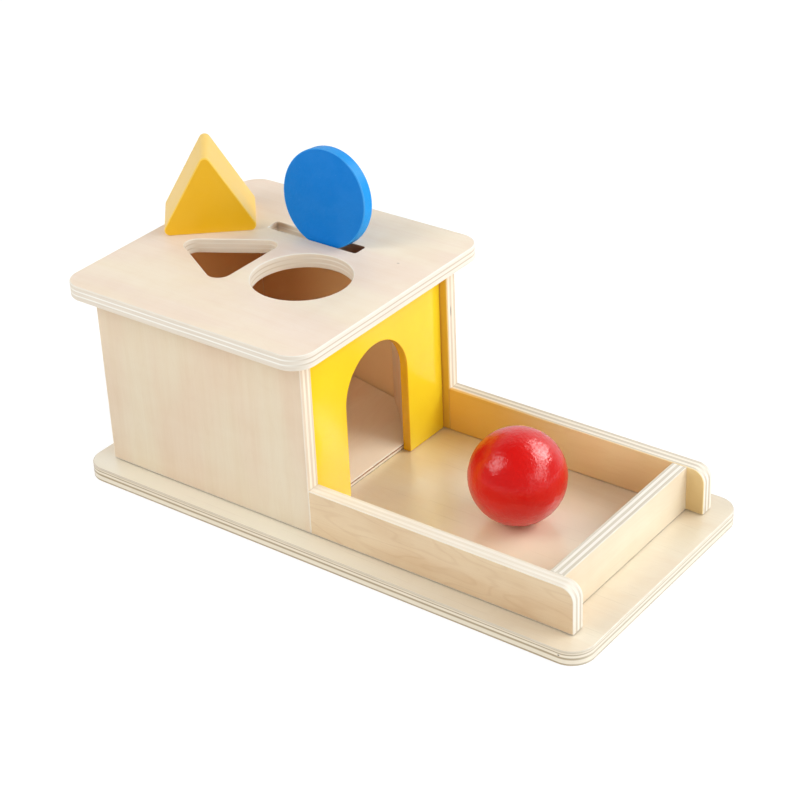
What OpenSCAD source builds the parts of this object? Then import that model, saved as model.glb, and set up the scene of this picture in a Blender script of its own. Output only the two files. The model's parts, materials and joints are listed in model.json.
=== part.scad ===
// Object permanence box: a plywood house with three openings in its roof, a ramp inside,
// and an open tray in front of an arched doorway.
// +X runs towards the tray's open end, +Y to the disc slot's side, +Z up.
// The origin is the centre of the base board's underside.

/* [Boards] */
// Thickness of the base, roof, walls and rails
ply_t = 7.8; // [6:0.1:10]
// Thickness of the thin board of the ramp and the corner guides
thin_t = 4; // [3:0.1:5]
// Length of the base board
base_l = 300; // [290:1:330]
// Width of the base board and the roof
base_w = 148; // [144:1:170]
// Radius of the round corners of the base board and the roof
corner_r = 12; // [6:0.5:20]

/* [House] */
// Bare base board behind the house and past the rails
end_margin = 11; // [8:0.5:14]
// Bare base board beside the walls
side_margin = 12; // [9:0.5:14]
// Length of the side panels
house_l = 129; // [126:0.5:136]
// Height of the walls
wall_h = 96; // [90:1:115]
// How far the roof stands out over the tray, past the side panels' front edges
roof_eave = 10; // [8:0.5:16]

/* [Doorway] */
// Thickness of the painted door panel
door_t = 4.6; // [3.6:0.1:6]
// How far the door panel stands back from the side panels' front edges
door_setback = 3.9; // [2:0.1:6]
// Width of the arch
arch_w = 49.4; // [49:0.1:56]
// Height of the straight jambs under the round of the arch
arch_jamb_h = 49.6; // [44:0.1:56]

/* [Roof openings] */
// Diameter of the round hole
hole_d = 50.6; // [50:0.1:54]
// Distance from the roof's front edge to the round hole's centre
hole_setback = 52; // [48:0.5:56]
// Distance of the round and triangular holes from the middle, away from the slot
hole_offset = 6.7; // [4:0.1:9]
// Side of the triangular hole, measured to sharp corners
tri_side = 56.8; // [55:0.1:59]
// Radius in the triangular hole's corners
tri_r = 6.4; // [4:0.1:8]
// Distance between the centres of the round and triangular holes
hole_pitch = 47.7; // [47:0.1:51]
// Length of the disc slot
slot_l = 56.4; // [56:0.1:60]
// Distance from the roof's front edge to the slot's middle
slot_setback = 73.6; // [73:0.1:76]
// Distance from the middle of the roof to the slot's middle
slot_offset = 31.5; // [30:0.1:36]
// Radius in the slot's corners
slot_r = 1.2; // [0.8:0.1:1.6]

/* [Ramp] */
// Slope of the ramp in degrees
ramp_angle = 10.5; // [8:0.5:13]
// Thickness of the strip under the ramp's high end
cleat_t = 8; // [6:0.5:12]
// Height of that strip
cleat_h = 10; // [6:0.5:14]
// Length of wall that each corner guide covers
guide_leg = 27.5; // [22:0.5:28.5]
// Height of the corner guides above the base board
guide_h = 86; // [60:1:89]

/* [Tray] */
// Height of the rails
rail_h = 24.5; // [20:0.5:30]
// Radius on the top outer corner of the side rails
rail_r = 7; // [4:0.5:12]
// Length of the side rails past the end rail
rail_tail = 9.6; // [8:0.1:20]

/* [Loose pieces] */
// Diameter of the ball
ball_d = 48.4; // [46:0.1:48.6]
// Place of the ball along the tray
ball_x = 66; // [50:0.5:80]
// Place of the ball across the tray
ball_y = 3.5; // [-10:0.5:10]
// Diameter of the disc
disc_d = 51.5; // [50:0.1:52]
// Thickness of the disc
disc_t = 6.5; // [5:0.1:6.8]
// Radius on the disc's edges
disc_r = 0.7; // [0.4:0.1:1.2]
// How far the disc leans back in its slot, in degrees
disc_lean = 6.9; // [3:0.1:7.5]
// How deep the disc's rim sits in the slot
disc_dip = 2.9; // [2:0.1:5]
// How far the disc stands off the slot's middle, towards the doorway
disc_shift = 6.6; // [0:0.1:7]
// Side of the triangular block, measured to sharp corners
block_side = 51; // [46:0.1:52]
// Radius on the block's long edges
block_r = 3; // [2:0.1:5]
// Length of the block
block_l = 32.9; // [26:0.1:36]
// Turn of the block on the roof, in degrees
block_turn = 41; // [35:1:47]
// Distance from the roof's back edge to the middle of the block's front foot
block_inset = 28; // [26:0.5:32]
// Place of the middle of the block's front foot across the roof
block_y = 6.9; // [4:0.1:9]

/* [Fixings] */
// Thread diameter of the wood screws
screw_d = 3; // [2.5:0.1:3.5]
// Head diameter of the wood screws
screw_head_d = 5.8; // [5.2:0.1:6.4]
// Length of the wood screws
screw_l = 20; // [16:1:24]
// Depth of the screw heads below the base board's underside
screw_sink = 0.4; // [0.3:0.1:0.8]
// Width of the slots of the cross recess
recess_w = 0.9; // [0.7:0.1:1.1]
// Depth of the cross recess
recess_h = 1.2; // [0.9:0.1:1.3]
// Diameter of the dowels
dowel_d = 4; // [3:0.1:5]
// Length of the dowels
dowel_l = 12; // [10:0.5:14]
// Depth of a dowel's hole in the face of a board
dowel_seat = 4.6; // [3.5:0.1:5.4]
// Chamfer on the dowels' ends
dowel_chamfer = 0.5; // [0.3:0.1:0.8]

/* [Clearances] */
// Gap around screws and dowels
fixing_gap = 0.1; // [0.05:0.01:0.2]
// Gap between slanted faces that meet
seat_gap = 0.1; // [0.05:0.01:0.2]
// Gap under the ball
roll_gap = 0.3; // [0.2:0.05:0.5]
// Gap on each face of the disc in its slot
slot_gap = 0.25; // [0.2:0.05:0.4]

/* [Hidden] */

// Cuts run past the faces they open by this much
overrun = 1;
// Round shapes, and the turn between two points on a triangle's round corner
$fn = 96;
round_step = 5;

// Levels
wall_top = ply_t + wall_h;
roof_top = wall_top + ply_t;
rail_top = ply_t + rail_h;

// Places along X
house_back = -base_l / 2 + end_margin;
house_front = house_back + house_l;
back_face = house_back + ply_t;
door_front = house_front - door_setback;
door_back = door_front - door_t;
rail_end = base_l / 2 - end_margin;
end_rail_front = rail_end - rail_tail;
end_rail_back = end_rail_front - ply_t;
roof_back = -base_l / 2;
roof_front = house_front + roof_eave;
roof_l = roof_front - roof_back;
hole_x = roof_front - hole_setback;
tri_x = hole_x - hole_pitch;
slot_x = roof_front - slot_setback;

// Places across Y
wall_outer = base_w / 2 - side_margin;
wall_inner = wall_outer - ply_t;
wall_mid = wall_outer - ply_t / 2;

// The ramp's low lower edge, its length, and the height of its underside at a place along X
ramp_low_x = door_back - seat_gap - thin_t * sin(ramp_angle);
ramp_l = (ramp_low_x - back_face - seat_gap) / cos(ramp_angle);
function ramp_underside(x) = ply_t + (ramp_low_x - x) * tan(ramp_angle);

// The slot is as wide as the leaning disc needs to drop through it
slot_w = disc_t / cos(disc_lean) + ply_t * tan(disc_lean) + 2 * slot_gap;
disc_front_y = slot_offset - slot_w / 2 + slot_gap + ply_t * tan(disc_lean);
disc_x = slot_x + disc_shift;

// Height of the screw's countersunk head
screw_cone_h = (screw_head_d - screw_d) / 2;

// Places of the fixings, as shares of the length of the piece that they hold
panel_screw_shares = [0.12, 0.5, 0.88];
rail_screw_shares = [0.16, 0.78];
cross_screw_shares = [-0.32, 0.32];
panel_dowel_shares = [0.18, 0.82];
cross_dowel_shares = [-0.3, 0.3];
rail_dowel_shares = [0.3, 0.7];
rail_l = rail_end - house_front;
panel_screw_places = [for (s = panel_screw_shares, side = [-1, 1])
    [house_back + s * house_l, side * wall_mid]];
rail_screw_places = [for (s = rail_screw_shares, side = [-1, 1])
    [house_front + s * rail_l, side * wall_mid]];
back_screw_places = [for (s = cross_screw_shares) [house_back + ply_t / 2, s * 2 * wall_inner]];
end_screw_places = [for (s = cross_screw_shares) [end_rail_back + ply_t / 2, s * 2 * wall_inner]];
screw_places = concat(panel_screw_places, rail_screw_places, back_screw_places, end_screw_places);
panel_dowel_places = [for (s = panel_dowel_shares, side = [-1, 1])
    [house_back + s * house_l, side * wall_mid]];
back_dowel_places = [for (s = cross_dowel_shares) [house_back + ply_t / 2, s * 2 * wall_inner]];
roof_dowel_places = concat(panel_dowel_places, back_dowel_places);
rail_dowel_levels = [for (s = rail_dowel_shares) ply_t + s * rail_h];

// Colours
birch = "#ecd9b8";
birch_thin = "#d9b88e";
door_yellow = "#fdd632";
block_yellow = "#e6b32c";
ball_red = "#d8281f";
disc_blue = "#2a80d0";
dowel_beech = "#d8b48a";
screw_zinc = "#b9bcc0";

// A flat plate with round corners, centred, from the ground up
module round_plate(l, w, t, r) {
    linear_extrude(t)
        union() {
            square([l - 2 * r, w], center = true);
            square([l, w - 2 * r], center = true);
            for (x = [-1, 1], y = [-1, 1])
                translate([x * (l / 2 - r), y * (w / 2 - r)])
                    circle(r);
        }
}

// A triangle of equal sides with round corners, centred, with one corner towards -X
module round_triangle(side, r) {
    reach = side / sqrt(3) - 2 * r;
    polygon([for (corner = [60, 180, 300], turn = [-60 : round_step : 60])
        reach * [cos(corner), sin(corner)] + r * [cos(corner + turn), sin(corner + turn)]]);
}

// A board standing on the base, between two places along X and two across Y
module upright(x0, x1, y0, y1, z1) {
    translate([x0, y0, ply_t])
        cube([x1 - x0, y1 - y0, z1 - ply_t]);
}

// A countersunk wood screw with its head's face on the ground, pointing up
module screw() {
    difference() {
        rotate_extrude()
            polygon([[0, 0], [screw_head_d / 2, 0], [screw_d / 2, screw_cone_h],
                     [screw_d / 2, screw_l - screw_d], [0, screw_l]]);
        for (turn = [0, 90])
            rotate([0, 0, turn])
                translate([-screw_d / 2, -recess_w / 2, -overrun])
                    cube([screw_d, recess_w, recess_h + overrun]);
    }
}

// The room that a screw needs: its countersink and its straight bore
module screw_bore() {
    translate([0, 0, -screw_sink - overrun])
        cylinder(h = screw_sink + overrun, d = screw_head_d + 2 * fixing_gap);
    cylinder(h = screw_cone_h, d1 = screw_head_d + 2 * fixing_gap, d2 = screw_d + 2 * fixing_gap);
    cylinder(h = screw_l + fixing_gap, d = screw_d + 2 * fixing_gap);
}

// A dowel along +Z from the ground up
module dowel() {
    rotate_extrude()
        polygon([[0, 0], [dowel_d / 2 - dowel_chamfer, 0], [dowel_d / 2, dowel_chamfer],
                 [dowel_d / 2, dowel_l - dowel_chamfer], [dowel_d / 2 - dowel_chamfer, dowel_l],
                 [0, dowel_l]]);
}

// A dowel's hole, reaching each way from a joint face on the ground
module dowel_bore(below, above) {
    translate([0, 0, -below - fixing_gap])
        cylinder(h = below + above + 2 * fixing_gap, d = dowel_d + 2 * fixing_gap);
}

// All screw holes from beneath
module screw_bores() {
    for (p = screw_places)
        translate([p.x, p.y, screw_sink])
            screw_bore();
}

// The dowel holes across the joint between the walls and the roof
module roof_dowel_bores() {
    for (p = roof_dowel_places)
        translate([p.x, p.y, wall_top])
            dowel_bore(dowel_l - dowel_seat, dowel_seat);
}

// Places and turns the dowels between the side panels and their rails
module at_rail_dowels() {
    for (side = [-1, 1], z = rail_dowel_levels)
        translate([house_front, side * wall_mid, z])
            rotate([0, 90, 0])
                children();
}

// Places and turns the dowels between the end rail and the side rails
module at_end_rail_dowels() {
    for (side = [-1, 1], z = rail_dowel_levels)
        translate([end_rail_back + ply_t / 2, side * wall_inner, z])
            rotate([side * -90, 0, 0])
                children();
}

module base_board() {
    color(birch)
        difference() {
            round_plate(base_l, base_w, ply_t, corner_r);
            screw_bores();
        }
}

// One side panel; side is -1 for the left and 1 for the right
module side_panel(side) {
    color(birch)
        difference() {
            upright(house_back, house_front, side * wall_mid - ply_t / 2,
                    side * wall_mid + ply_t / 2, wall_top);
            screw_bores();
            roof_dowel_bores();
            at_rail_dowels()
                dowel_bore(dowel_l / 2, dowel_l / 2);
        }
}

module left_side_panel() {
    side_panel(-1);
}

module right_side_panel() {
    side_panel(1);
}

module back_panel() {
    color(birch)
        difference() {
            upright(house_back, back_face, -wall_inner, wall_inner, wall_top);
            screw_bores();
            roof_dowel_bores();
        }
}

module door_panel() {
    color(door_yellow)
        difference() {
            upright(door_back, door_front, -wall_inner, wall_inner, wall_top);
            translate([door_back - overrun, -arch_w / 2, ply_t - overrun])
                cube([door_t + 2 * overrun, arch_w, arch_jamb_h + overrun]);
            translate([door_back - overrun, 0, ply_t + arch_jamb_h])
                rotate([0, 90, 0])
                    cylinder(h = door_t + 2 * overrun, d = arch_w);
        }
}

module top_board() {
    color(birch)
        difference() {
            translate([(roof_back + roof_front) / 2, 0, wall_top])
                round_plate(roof_l, base_w, ply_t, corner_r);
            translate([hole_x, -hole_offset, wall_top - overrun])
                cylinder(h = ply_t + 2 * overrun, d = hole_d);
            translate([tri_x, -hole_offset, wall_top - overrun])
                linear_extrude(ply_t + 2 * overrun)
                    round_triangle(tri_side, tri_r);
            translate([slot_x, slot_offset, wall_top - overrun])
                round_plate(slot_l, slot_w, ply_t + 2 * overrun, slot_r);
            roof_dowel_bores();
        }
}

module ball_ramp() {
    color(birch_thin)
        translate([ramp_low_x, 0, ply_t])
            rotate([0, ramp_angle, 0])
                translate([-ramp_l, -wall_inner, 0])
                    cube([ramp_l, 2 * wall_inner, thin_t]);
}

module ramp_cleat() {
    cleat_front = back_face + cleat_t;
    cleat_top = ramp_underside(cleat_front) - seat_gap;
    color(birch)
        translate([0, wall_inner, 0])
            rotate([90, 0, 0])
                linear_extrude(2 * wall_inner)
                    polygon([[back_face, cleat_top - cleat_h], [cleat_front, cleat_top - cleat_h],
                             [cleat_front, cleat_top], [back_face, ramp_underside(back_face) - seat_gap]]);
}

// One corner guide: a board at 45 degrees whose mitred ends lie on the side wall and the door,
// cut to the ramp's slope at its foot
module corner_guide(side) {
    mitre = thin_t * sqrt(2);
    wall_end = door_back - guide_leg;
    door_end = wall_inner - guide_leg;
    color(birch_thin)
        difference() {
            translate([0, 0, ply_t])
                linear_extrude(guide_h)
                    polygon([[wall_end, side * wall_inner], [door_back, side * door_end],
                             [door_back, side * (door_end + mitre)],
                             [wall_end + mitre, side * wall_inner]]);
            translate([ramp_low_x, 0, ply_t])
                rotate([0, ramp_angle, 0])
                    translate([-ramp_l, -wall_inner - overrun, -ramp_l])
                        cube([2 * ramp_l, 2 * (wall_inner + overrun), ramp_l + thin_t + seat_gap]);
        }
}

module left_corner_guide() {
    corner_guide(-1);
}

module right_corner_guide() {
    corner_guide(1);
}

// One side rail of the tray, round at its top outer corner
module tray_rail(side) {
    color(birch)
        difference() {
            translate([house_front, side * wall_mid + ply_t / 2, ply_t])
                rotate([90, 0, 0])
                    linear_extrude(ply_t)
                        union() {
                            square([rail_l - rail_r, rail_h]);
                            square([rail_l, rail_h - rail_r]);
                            translate([rail_l - rail_r, rail_h - rail_r])
                                circle(rail_r);
                        }
            screw_bores();
            at_rail_dowels()
                dowel_bore(dowel_l / 2, dowel_l / 2);
            at_end_rail_dowels()
                dowel_bore(dowel_l - dowel_seat, dowel_seat);
        }
}

module left_tray_rail() {
    tray_rail(-1);
}

module right_tray_rail() {
    tray_rail(1);
}

module tray_end_rail() {
    color(birch)
        difference() {
            upright(end_rail_back, end_rail_front, -wall_inner, wall_inner, rail_top);
            screw_bores();
            at_end_rail_dowels()
                dowel_bore(dowel_l - dowel_seat, dowel_seat);
        }
}

module base_screws() {
    color(screw_zinc)
        for (p = screw_places)
            translate([p.x, p.y, screw_sink])
                screw();
}

module top_dowels() {
    color(dowel_beech)
        for (p = roof_dowel_places)
            translate([p.x, p.y, wall_top + dowel_seat - dowel_l])
                dowel();
}

module rail_dowels() {
    color(dowel_beech)
        at_rail_dowels()
            translate([0, 0, -dowel_l / 2])
                dowel();
}

module end_rail_dowels() {
    color(dowel_beech)
        at_end_rail_dowels()
            translate([0, 0, dowel_seat - dowel_l])
                dowel();
}

module ball() {
    color(ball_red)
        translate([ball_x, ball_y, ply_t + roll_gap + ball_d / 2])
            sphere(d = ball_d);
}

// The disc stands in its slot and leans back on the slot's far edge
module disc() {
    color(disc_blue)
        translate([disc_x, disc_front_y, roof_top])
            rotate([-disc_lean, 0, 0])
                translate([0, disc_t, disc_d / 2 - disc_dip])
                    rotate([90, 0, 0])
                        rotate_extrude()
                            union() {
                                square([disc_d / 2 - disc_r, disc_t]);
                                translate([0, disc_r])
                                    square([disc_d / 2, disc_t - 2 * disc_r]);
                                for (z = [disc_r, disc_t - disc_r])
                                    translate([disc_d / 2 - disc_r, z])
                                        circle(disc_r);
                            }
}

// The block stands on one of its long sides, so a corner points up
module triangle_block() {
    color(block_yellow)
        translate([roof_back + block_inset, block_y, roof_top])
            rotate([90, 0, block_turn])
                translate([0, block_side / (2 * sqrt(3)), -block_l])
                    rotate([0, 0, -90])
                        linear_extrude(block_l)
                            round_triangle(block_side, block_r);
}

base_board();
left_side_panel();
right_side_panel();
back_panel();
door_panel();
top_board();
ball_ramp();
ramp_cleat();
left_corner_guide();
right_corner_guide();
left_tray_rail();
right_tray_rail();
tray_end_rail();
base_screws();
top_dowels();
rail_dowels();
end_rail_dowels();
ball();
disc();
triangle_block();
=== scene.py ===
"""A plywood object permanence box with its ball, disc and triangular block, on a white sweep.

Each board, each painted piece and the ball is a new surface that replaces its plain CAD node. Its sharp
edges are eased, and each board carries the directions of its veneers, which its plywood material reads.
"""

import itertools
import json
import math

import bmesh
import bpy
import numpy as np
from mathutils import Matrix, Vector
from mathutils.geometry import tessellate_polygon


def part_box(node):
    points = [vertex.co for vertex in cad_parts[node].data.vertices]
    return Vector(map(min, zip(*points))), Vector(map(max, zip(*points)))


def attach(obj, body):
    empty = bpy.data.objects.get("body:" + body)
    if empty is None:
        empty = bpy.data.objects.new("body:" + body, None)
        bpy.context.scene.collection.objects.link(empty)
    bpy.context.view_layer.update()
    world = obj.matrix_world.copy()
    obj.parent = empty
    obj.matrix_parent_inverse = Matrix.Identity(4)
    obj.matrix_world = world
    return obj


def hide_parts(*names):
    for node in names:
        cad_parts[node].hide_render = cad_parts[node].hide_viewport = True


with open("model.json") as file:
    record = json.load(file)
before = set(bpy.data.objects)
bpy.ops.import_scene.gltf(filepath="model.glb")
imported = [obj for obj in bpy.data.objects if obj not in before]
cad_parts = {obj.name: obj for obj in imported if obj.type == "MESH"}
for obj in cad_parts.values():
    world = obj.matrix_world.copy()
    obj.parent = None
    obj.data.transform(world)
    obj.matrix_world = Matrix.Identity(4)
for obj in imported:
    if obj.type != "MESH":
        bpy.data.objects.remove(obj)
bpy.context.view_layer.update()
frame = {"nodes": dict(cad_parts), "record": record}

MM = 0.001
RECORD = frame["record"]
BODY_OF = {node: body for body, nodes in RECORD["behaviour"]["bodies"].items() for node in nodes}

# Sizes that no box around a node gives: of the openings, the round corners, the slanted boards, the loose
# pieces and the screws' holes
HOLE_D = 50.6 * MM
HOLE_SETBACK = 52 * MM
HOLE_OFFSET = 6.7 * MM
HOLE_PITCH = 47.7 * MM
TRI_SIDE = 56.8 * MM
TRI_R = 6.4 * MM
SLOT_L = 56.4 * MM
SLOT_W = 7.99 * MM
SLOT_SETBACK = 73.6 * MM
SLOT_OFFSET = 31.5 * MM
SLOT_R = 1.2 * MM
CORNER_R = 12 * MM
RAIL_R = 7 * MM
ARCH_W = 49.4 * MM
ARCH_H = 74.3 * MM
RAMP_SLOPE = math.radians(10.5)
THIN_T = 4 * MM
SEAT_GAP = 0.1 * MM
DISC_T = 6.5 * MM
DISC_LEAN = math.radians(6.9)
BLOCK_SIDE = 51 * MM
BLOCK_R = 3 * MM
BLOCK_L = 32.9 * MM
BLOCK_TURN = math.radians(41)
BLOCK_FOOT = (-122 * MM, 6.9 * MM)
SCREW_HEAD_R = 3 * MM
SCREW_BORE_R = 1.6 * MM
SCREW_SINK = 0.4 * MM

# Glue lines between thick and thin veneers, from the underside up, as shares of the thickness
ROOF_PLY = (0.32, 0.41, 0.64, 0.73)
BASE_PLY = (0.14, 0.42, 0.56, 0.72, 0.8)
WALL_PLY = (0.19, 0.37, 0.57, 0.76)
THREE_PLY = (0.56, 0.76)
BOARD_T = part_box("base_board")[1].z

# How the edges are eased: sandpaper on the boards, paint build-up on the painted pieces
PLY_EASE = 0.35 * MM
PAINT_EASE = 0.5 * MM
CUT_CORNER = 0.6 * MM

# Sanding by hand makes the easing larger by this share, give or take as much, in a long and a short wave
EASE_UNEVEN = 0.2
EASE_WAVES = (90 * MM, 31 * MM)

# Joints that aren't quite closed: under a board's foot, where the end rail is bowed, and beside the door
# and the ramp
FOOT_GAP = 0.3 * MM
END_RAIL_BOW = 0.3 * MM
DOOR_GAP = 0.4 * MM
RAMP_GAP = 0.9 * MM

# Room for the disc's edge, whose easing is smaller than its CAD node's
DISC_TRIM = 0.04 * MM

# How deep the brush left its marks in the ball's paint
BRUSH_DEPTH = 0.06 * MM

# How fine a surface is cut; a ring of points supports the easing, this share of its size further on
ARC_CHORD = 0.7 * MM
CORNER_STEPS = 4
EASE_STEPS = 5
SUPPORT = 0.6
BALL_ROWS = 96
BALL_COLUMNS = 192
SHARP_TURN = math.radians(40)

# Each board is sawn from another place of its sheet
SHEET_STEP = 370 * MM
sheet_places = itertools.count()


def srgb(text):
    """A colour written as #RRGGBB, as linear red, green, blue and a full alpha."""
    shares = np.array([int(text[i:i + 2], 16) for i in (1, 3, 5)]) / 255
    linear = np.where(shares <= 0.04045, shares / 12.92, ((shares + 0.055) / 1.055) ** 2.4)
    return (*linear.tolist(), 1.0)


def stand_for(piece, node):
    """The piece takes the CAD node's place and body, and the node is hidden."""
    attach(piece, BODY_OF[node])
    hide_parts(node)


# Outlines

def outline(corners, radii):
    """A closed outline with round corners, walked with the material on its left.

    At each corner the outward normal turns evenly from one edge's to the next one's, and a point is the
    arc's centre plus the radius times that normal, or minus it where the corner is hollow. Returns the
    points and their outward normals.
    """
    corners = np.asarray(corners, float)
    points, normals = [], []
    behind, beyond = np.roll(corners, 1, 0), np.roll(corners, -1, 0)
    for before, corner, after, radius in zip(behind, corners, beyond, radii):
        come = (corner - before) / np.linalg.norm(corner - before)
        go = (after - corner) / np.linalg.norm(after - corner)
        turn = math.atan2(come[0] * go[1] - come[1] * go[0], come @ go)
        side = math.copysign(1, turn)
        steps = max(CORNER_STEPS, math.ceil(abs(turn) * radius / ARC_CHORD))
        heading = math.atan2(-come[0], come[1]) + np.linspace(0, turn, steps + 1)
        normal = np.stack([np.cos(heading), np.sin(heading)], -1)
        centre = corner - come * radius * math.tan(abs(turn) / 2) - side * radius * normal[0]
        points.append(centre + side * radius * normal)
        normals.append(normal)
    points, normals = np.concatenate(points), np.concatenate(normals)
    apart = np.linalg.norm(points - np.roll(points, 1, 0), axis=1) > ARC_CHORD / 100
    return points[apart], normals[apart]


def corners_about(u, v, half_u, half_v):
    """The four corners of a rectangle about a point: the point plus or minus half of each side."""
    return [(u + i * half_u, v + j * half_v) for i, j in ((-1, -1), (1, -1), (1, 1), (-1, 1))]


def rectangle(u0, u1, v0, v1, radius):
    """An outline of four corners with one radius."""
    return outline([(u0, v0), (u1, v0), (u1, v1), (u0, v1)], [radius] * 4)


def opening(corners, radii):
    """An outline of a hole: the same corners walked the other way round."""
    return outline(corners[::-1], radii[::-1])


def round_opening(u, v, radius):
    """A round hole, as a square whose corners are arcs that meet."""
    return opening(corners_about(u, v, radius, radius), [radius] * 4)


def triangle(u, v, side, angle):
    """The three corners of an equal-sided triangle about a point, one of them at the given angle.

    Each corner is the side divided by the root of 3 away from the point, a third of a turn from the next.
    """
    turns = angle + np.radians([0, 120, 240])
    return np.stack([u + side / math.sqrt(3) * np.cos(turns), v + side / math.sqrt(3) * np.sin(turns)], -1)


# Profiles that are carried along an outline, each as insets into the material and heights

def eased(path, thick, ease):
    """A board's edge: a quarter round at the top, a straight wall, and a quarter round at the foot.

    As an angle a goes from 0 to 90 degrees, the quarter round lies its size times 1 - sin a in from the
    wall and its size times 1 - cos a below the face. The easing was done by hand, so its size swells and
    thins along the outline by two slow sine waves, from the whole ease to 1.4 times it.
    """
    points, _ = path
    steps = np.linalg.norm(np.roll(points, -1, 0) - points, axis=1)
    turn = 2 * math.pi * np.concatenate([[0], np.cumsum(steps)[:-1]]) / steps.sum()
    long_waves, short_waves = (max(1, round(steps.sum() / length)) for length in EASE_WAVES)
    swell = 0.6 * np.sin(long_waves * turn + 1) + 0.4 * np.sin(short_waves * turn + 2)
    size = ease * (1 + EASE_UNEVEN + EASE_UNEVEN * swell)
    angle = np.linspace(0, math.pi / 2, EASE_STEPS + 1)[:, None]
    inset = size * (1 - np.sin(angle))
    drop = size * (1 - np.cos(angle))
    support = (1 + SUPPORT) * size[None]
    flush = np.zeros_like(support)
    insets = np.concatenate([inset, flush, flush, inset[::-1]])
    heights = np.concatenate([thick - drop, thick - support, support, drop[::-1]])
    return insets, heights


def countersink(path, thick):
    """A screw's hole: a straight bore, a cone for the head, and a short straight sink at the foot.

    The cone stands at 45 degrees, so it is as high as the head's radius is larger than the bore's.
    """
    cone = SCREW_HEAD_R - SCREW_BORE_R
    insets = np.array([0, 0, cone, cone])
    heights = np.array([thick, SCREW_SINK + cone, SCREW_SINK, 0])
    count = len(path[0])
    return np.repeat(insets[:, None], count, 1), np.repeat(heights[:, None], count, 1)


def board(name, paths, thick, place, grain, material, ease=PLY_EASE, profiles=None, shape=None):
    """A flat piece: each outline carries an edge profile, and two flat faces close it.

    A point of an edge is the outline's point less its normal times the profile's inset, at the profile's
    height. The first path is the outside and the others are holes. place is the origin and the three
    directions of along, across and up, and grain is the face grain in the first two. shape bends the points
    before they are placed. Each point keeps its place in the sheet as the attribute "wood", and each face
    keeps what it cuts through as the attribute "cut": 0 on a flat face, 1 on an edge and 2 in a hole, how
    much end grain it shows, and whether it lies on an eased corner.
    """
    profiles = profiles or [eased(path, thick, ease) for path in paths]
    places, faces, cuts, tops, feet = [], [], [], [], []
    first = 0
    for (points, normals), (insets, heights), kind in zip(paths, profiles, [1] + [2] * len(paths)):
        rings, count = insets.shape
        flat = points[None] - normals[None] * insets[..., None]
        places.append(np.concatenate([flat, heights[..., None]], -1).reshape(-1, 3))
        index = first + np.arange(rings * count).reshape(rings, count)
        ahead = np.roll(index, -1, 1)
        faces.append(np.stack([index[:-1], index[1:], ahead[1:], ahead[:-1]], -1).reshape(-1, 4))
        middle = normals + np.roll(normals, -1, 0)
        ends = ((middle @ grain) / np.linalg.norm(middle, axis=1)) ** 2
        sloped = np.abs(np.diff(insets, axis=0)) > 0
        kinds = np.full(sloped.shape, kind)
        cuts.append(np.stack([kinds, np.broadcast_to(ends, sloped.shape), sloped], -1).reshape(-1, 3))
        tops.append(index[0])
        feet.append(index[-1])
        first += rings * count
    local = np.concatenate(places)
    quads = np.concatenate(faces).tolist()
    level = local * (1, 1, 0)
    caps = []
    for rims in (tops, feet):
        filled = tessellate_polygon([level[rim].tolist() for rim in rims])
        caps += np.concatenate(rims)[np.array(filled)].tolist()
    cut = np.concatenate([*cuts, np.zeros((len(caps), 3))])
    sheet = SHEET_STEP * next(sheet_places)
    across = (-grain[1], grain[0])
    wood = np.stack([local[:, :2] @ grain + sheet, local[:, :2] @ across + sheet, local[:, 2]], -1)
    if shape:
        local = shape(local)
    origin, *directions = (np.asarray(vector, float) for vector in place)
    piece = surface(name, origin + local @ np.stack(directions), quads + caps, material)
    keep(piece, "wood", "POINT", wood)
    keep(piece, "cut", "FACE", cut)
    piece.data.polygons.foreach_set("use_smooth", cut[:, 0] > 0)
    piece.data.set_sharp_from_angle(angle=SHARP_TURN)
    return piece


def surface(name, points, faces, material):
    """A closed mesh object at the origin, with its faces turned outwards."""
    mesh = bpy.data.meshes.new(name)
    mesh.from_pydata(points.tolist(), [], faces)
    work = bmesh.new()
    work.from_mesh(mesh)
    bmesh.ops.recalc_face_normals(work, faces=work.faces)
    work.to_mesh(mesh)
    work.free()
    mesh.materials.append(material)
    piece = bpy.data.objects.new(name, mesh)
    bpy.context.scene.collection.objects.link(piece)
    return piece


def keep(piece, name, domain, values):
    """Stores one vector for each point or face of the piece's mesh."""
    attribute = piece.data.attributes.new(name, "FLOAT_VECTOR", domain)
    attribute.data.foreach_set("vector", np.asarray(values, np.float32).ravel())


# Materials

# Where a mix takes its share and its two colours and gives their mix, and the same for two numbers
SHARE, BELOW, ABOVE, MIXED = 0, 6, 7, 2
NUMBER_BELOW, NUMBER_ABOVE, NUMBER_MIXED = 2, 3, 0

# How large the patches of the face veneer's patterns are: along the grain, across it, through the board
DRIFT = (95 * MM, 30 * MM, 30 * MM)
SHIMMER = (13 * MM, 34 * MM, 34 * MM)
FLAME = (80 * MM, 6 * MM, 6 * MM)
GROWTH = (90 * MM, 20 * MM, 20 * MM)
GROWTH_LINES = 13

# Fibre bundles are about 0.3 mm across and pores 0.1 mm, too fine to show, so both are drawn coarser
STREAK = (60 * MM, 0.9 * MM, 0.9 * MM)
PORE = (3.5 * MM, 0.5 * MM, 0.5 * MM)
PORE_DEPTH = 0.08 * MM

# On a board's edge the glue lines wander by this share of its thickness, and are a little blurred. The
# fibres of a sawn edge are too fine to show, so they are drawn as coarse as they need to be
SEAM_WANDER = 0.04
SEAM_BLUR = 0.016
EDGE_WANDER = 30 * MM
EDGE_FIBRE = (24 * MM, 24 * MM, 0.3 * MM)
EDGE_ROUGH = 0.7

# Clouds, worn and painted-highlight corners of a paint, the waves a brush leaves, and the wood's grain
# beneath
PAINT_CLOUD = 22 * MM
PAINT_WEAR_AND_HIGHLIGHT = 6 * MM
PAINT_WAVE = 6 * MM
PAINT_GRAIN = (0.8 * MM, 0.8 * MM, 14 * MM)

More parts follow.
